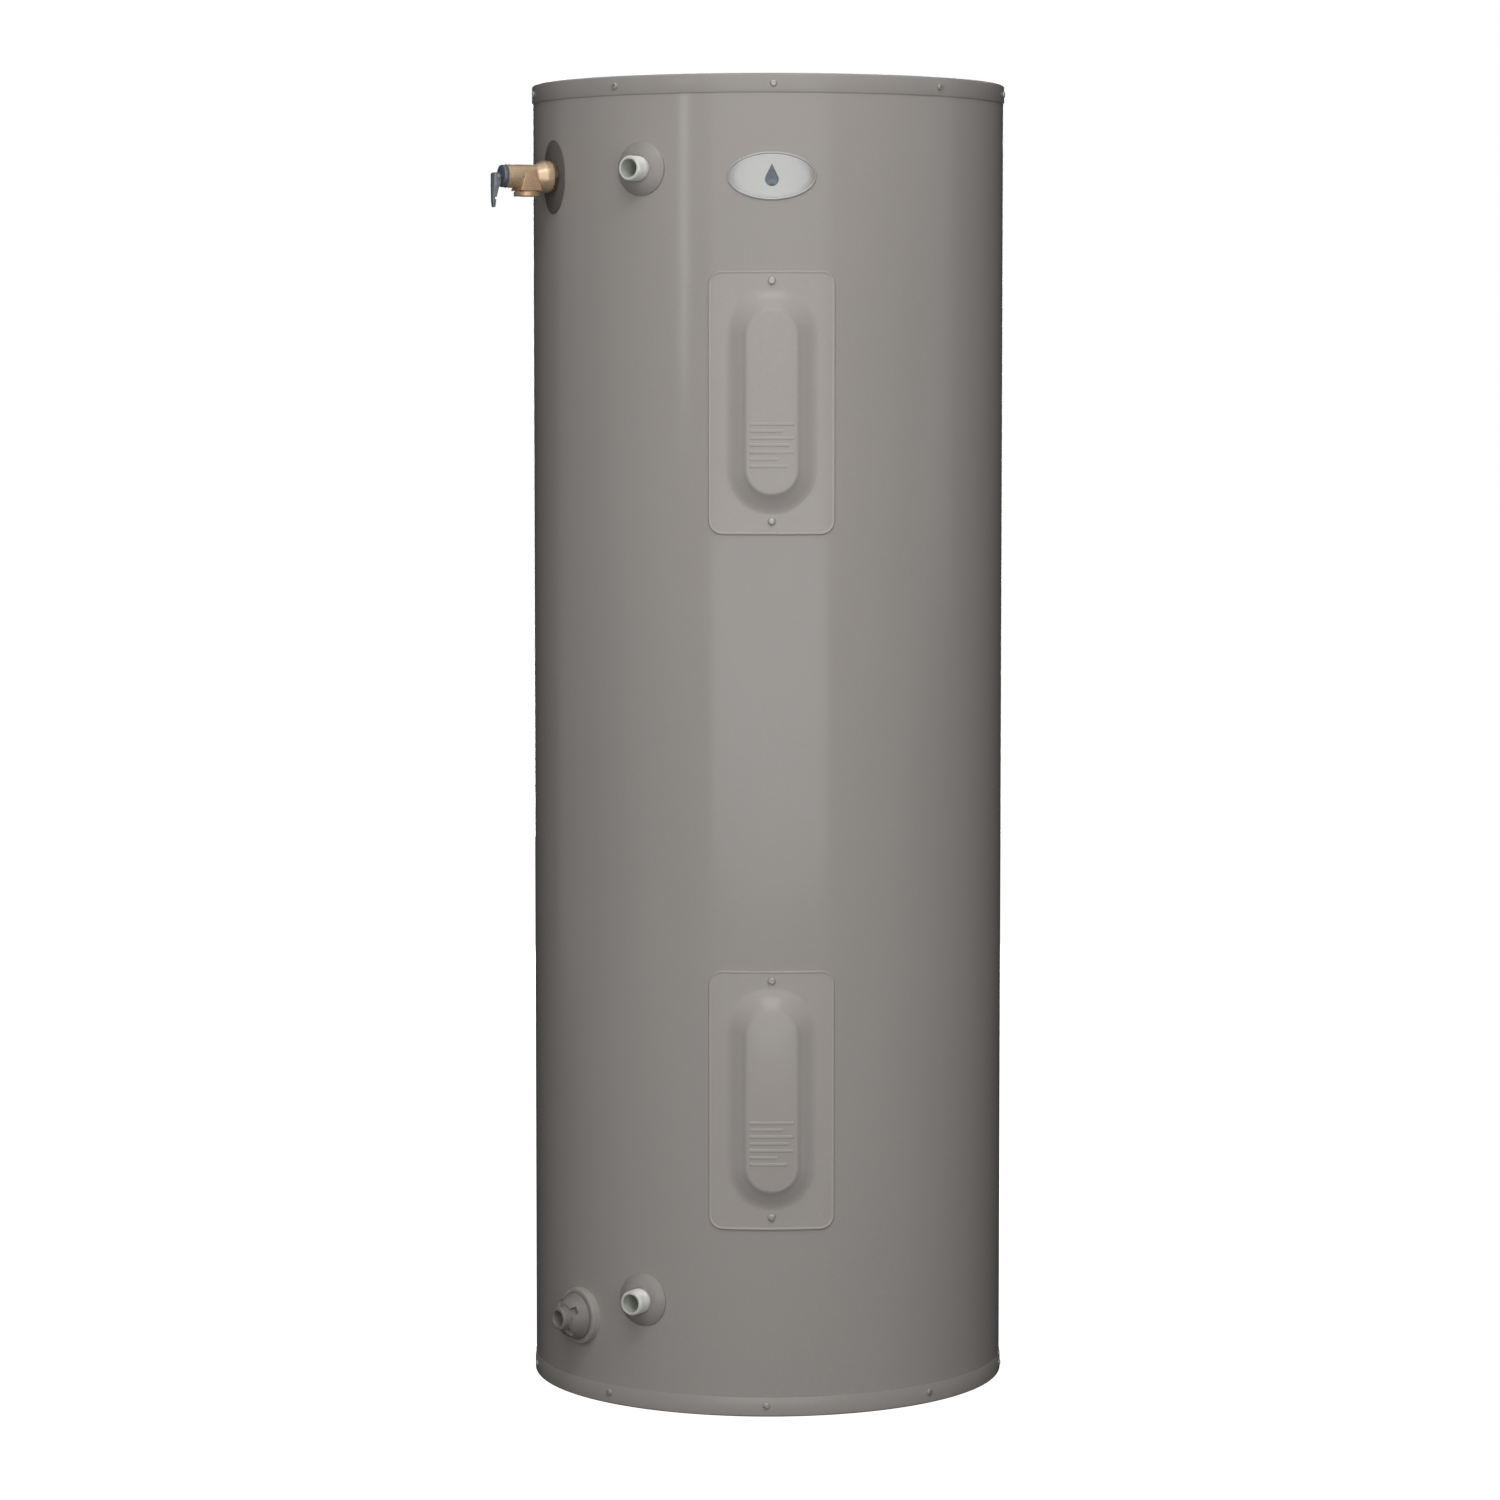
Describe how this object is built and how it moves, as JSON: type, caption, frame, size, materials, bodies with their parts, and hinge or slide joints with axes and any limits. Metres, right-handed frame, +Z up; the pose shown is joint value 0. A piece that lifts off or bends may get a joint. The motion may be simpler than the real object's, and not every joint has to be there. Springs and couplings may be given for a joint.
{
  "type": "tank water heater",
  "caption": "Tall cylindrical electric tank water heater with side pipe connections, relief valve, drain valve and lift-off service panels.",
  "frame": {"origin": "centre of the flat underside of the base pan, on the floor", "axes": "+Z up along the tank's axis, the access panels face -Y, the relief valve points towards -X"},
  "size_m": [0.5607, 0.532, 1.425],
  "materials": {
    "jacket_paint": "semi-gloss baked enamel, warm grey",
    "galvanised": "zinc plated sheet",
    "tank_steel": "glass-lined steel, dark blue-grey",
    "foam": "rigid cream polyurethane foam",
    "fibre_pad": "yellow glass-fibre pad",
    "magnesium": "dull magnesium",
    "plated_steel": "bright zinc plate",
    "brass": "cast and turned brass",
    "lever_steel": "blue-grey plated steel",
    "dark_plastic": "dark grey plastic",
    "grey_plastic": "moulded grey plastic",
    "black_phenolic": "black phenolic",
    "red_plastic": "red plastic",
    "white_plastic": "white plastic",
    "rubber": "black rubber",
    "badge_silver": "satin silver plate",
    "screw_zinc": "zinc plated screw",
    "green_screw": "green earth screw",
    "cable_sheath": "pale cable sheath",
    "incoloy": "dull nickel alloy"
  },
  "bodies": {
    "heater": {"base_pan": "jacket_paint", "top_cap": "jacket_paint", "jacket": "jacket_paint", "foam_insulation": "foam", "tank_shell": "tank_steel", "tank_top_head": "tank_steel", "tank_bottom_head": "tank_steel", "anode_rod": "magnesium", "hot_nipple": "plated_steel", "hot_escutcheon": "grey_plastic", "cold_nipple": "plated_steel", "cold_escutcheon": "grey_plastic", "relief_escutcheon": "dark_plastic", "relief_valve_body": "brass", "relief_cap": "lever_steel", "relief_spring": "plated_steel", "relief_probe": "incoloy", "drain_escutcheon": "grey_plastic", "drain_body": "grey_plastic", "badge": "badge_silver", "upper_heating_element": "incoloy", "lower_heating_element": "incoloy", "upper_element_gasket": "rubber", "lower_element_gasket": "rubber", "upper_thermostat": "black_phenolic", "lower_thermostat": "black_phenolic", "upper_thermostat_bracket": "galvanised", "lower_thermostat_bracket": "galvanised", "high_limit_control": "black_phenolic", "cap_screw_left": "screw_zinc", "cap_screw_front": "screw_zinc", "cap_screw_right": "screw_zinc", "base_screw_left": "screw_zinc", "base_screw_front": "screw_zinc", "base_screw_right": "screw_zinc", "junction_box": "galvanised", "ground_screw": "green_screw", "supply_cable": "cable_sheath", "link_cable": "cable_sheath"},
    "relief_stem": {"relief_stem": "brass"},
    "relief_lever": {"relief_lever": "lever_steel", "lever_pin": "plated_steel"},
    "drain_seal": {"drain_seal_washer": "rubber"},
    "drain_handwheel": {"drain_handwheel": "grey_plastic"},
    "upper_dial": {"upper_thermostat_dial": "white_plastic"},
    "lower_dial": {"lower_thermostat_dial": "white_plastic"},
    "reset_button": {"reset_button": "red_plastic"},
    "upper_cover": {"upper_access_panel": "jacket_paint", "upper_panel_screw_top": "screw_zinc", "upper_panel_screw_bottom": "screw_zinc", "upper_insulation_pad": "fibre_pad"},
    "lower_cover": {"lower_access_panel": "jacket_paint", "lower_panel_screw_top": "screw_zinc", "lower_panel_screw_bottom": "screw_zinc", "lower_insulation_pad": "fibre_pad"},
    "junction_cover": {"junction_cover": "jacket_paint", "junction_cover_screw_left": "screw_zinc", "junction_cover_screw_right": "screw_zinc"}
  },
  "joints": [
    {"name": "relief_stem_lift", "type": "slide", "parent": "heater", "child": "relief_stem", "axis": [-0.8988, -0.4384, 0], "range_m": [0, 0.003], "stiffness_N_per_m": 1000, "deforming": ["relief_spring"]},
    {"name": "relief_lever_swing", "type": "hinge", "parent": "relief_stem", "child": "relief_lever", "pos_m": [-0.2931, -0.14295, 1.322], "axis": [-0.4384, 0.8988, 0], "range_deg": [0, 90]},
    {"name": "drain_seal_lift", "type": "slide", "parent": "heater", "child": "drain_seal", "axis": [-0.788, -0.6157, 0], "range_m": [0, 0.00375]},
    {"name": "drain_handwheel_turn", "type": "hinge", "parent": "drain_seal", "child": "drain_handwheel", "pos_m": [-0.20402, -0.1594, 0.09], "axis": [-0.788, -0.6157, 0], "range_deg": [0, 540]},
    {"name": "upper_dial_turn", "type": "hinge", "parent": "heater", "child": "upper_dial", "pos_m": [0.012, -0.2366, 1.072], "axis": [0, -1, 0], "range_deg": [-120, 120]},
    {"name": "lower_dial_turn", "type": "hinge", "parent": "heater", "child": "lower_dial", "pos_m": [0.012, -0.2366, 0.332], "axis": [0, -1, 0], "range_deg": [-120, 120]},
    {"name": "reset_button_press", "type": "slide", "parent": "heater", "child": "reset_button", "axis": [0, 1, 0], "range_m": [0, 0.0015], "stiffness_N_per_m": 100},
    {"name": "upper_cover_off", "type": "slide", "parent": "heater", "child": "upper_cover", "axis": [0, -1, 0], "range_m": [0, 0.12]},
    {"name": "lower_cover_off", "type": "slide", "parent": "heater", "child": "lower_cover", "axis": [0, -1, 0], "range_m": [0, 0.12]},
    {"name": "junction_cover_off", "type": "slide", "parent": "heater", "child": "junction_cover", "axis": [0, 0, 1], "range_m": [0, 0.1]}
  ],
  "couplings": [
    {"joint": "relief_lever_swing", "follows": "relief_stem_lift", "rad_per_m": 523},
    {"joint": "drain_handwheel_turn", "follows": "drain_seal_lift", "rad_per_m": 2513}
  ]
}
